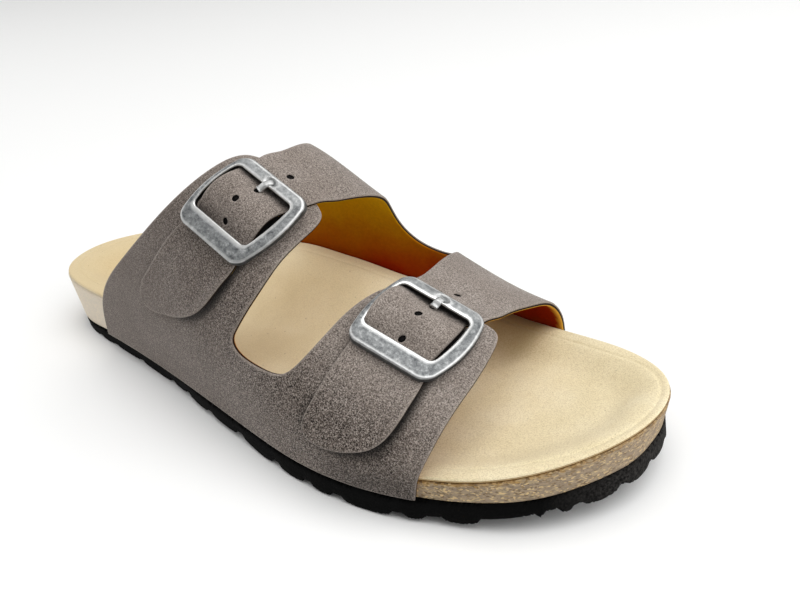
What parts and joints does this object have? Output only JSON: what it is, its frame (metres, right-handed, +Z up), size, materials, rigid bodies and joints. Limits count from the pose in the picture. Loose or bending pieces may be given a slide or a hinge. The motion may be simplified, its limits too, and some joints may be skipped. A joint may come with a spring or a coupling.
{
  "type": "sandal",
  "caption": "Open slip-on sandal for the right foot: broad buckled straps over instep and forefoot, contoured cork footbed lined in suede, thin lugged outsole.",
  "frame": {"origin": "middle of the footprint's bounding box, on the floor", "axes": "+X forward from heel to toe, +Y to the inner side (big toe), +Z up"},
  "size_m": [0.2662, 0.1016, 0.0943],
  "materials": {
    "outsole_foam_rubber": "matte, finely pitted",
    "footbed_cork": "ground cork with pale flecks",
    "insole_suede": "beige suede nap",
    "upper_microfibre": "taupe brushed microfibre, ochre lining",
    "buckle_metal": "antique silver, mottled, bright at the edges"
  },
  "bodies": {
    "root": {"outsole": "outsole_foam_rubber", "footbed": "footbed_cork", "insole": "insole_suede", "upper": "upper_microfibre", "buckle_rear": "buckle_metal", "buckle_front": "buckle_metal", "prong_rear": "buckle_metal", "prong_front": "buckle_metal"}
  },
  "joints": []
}
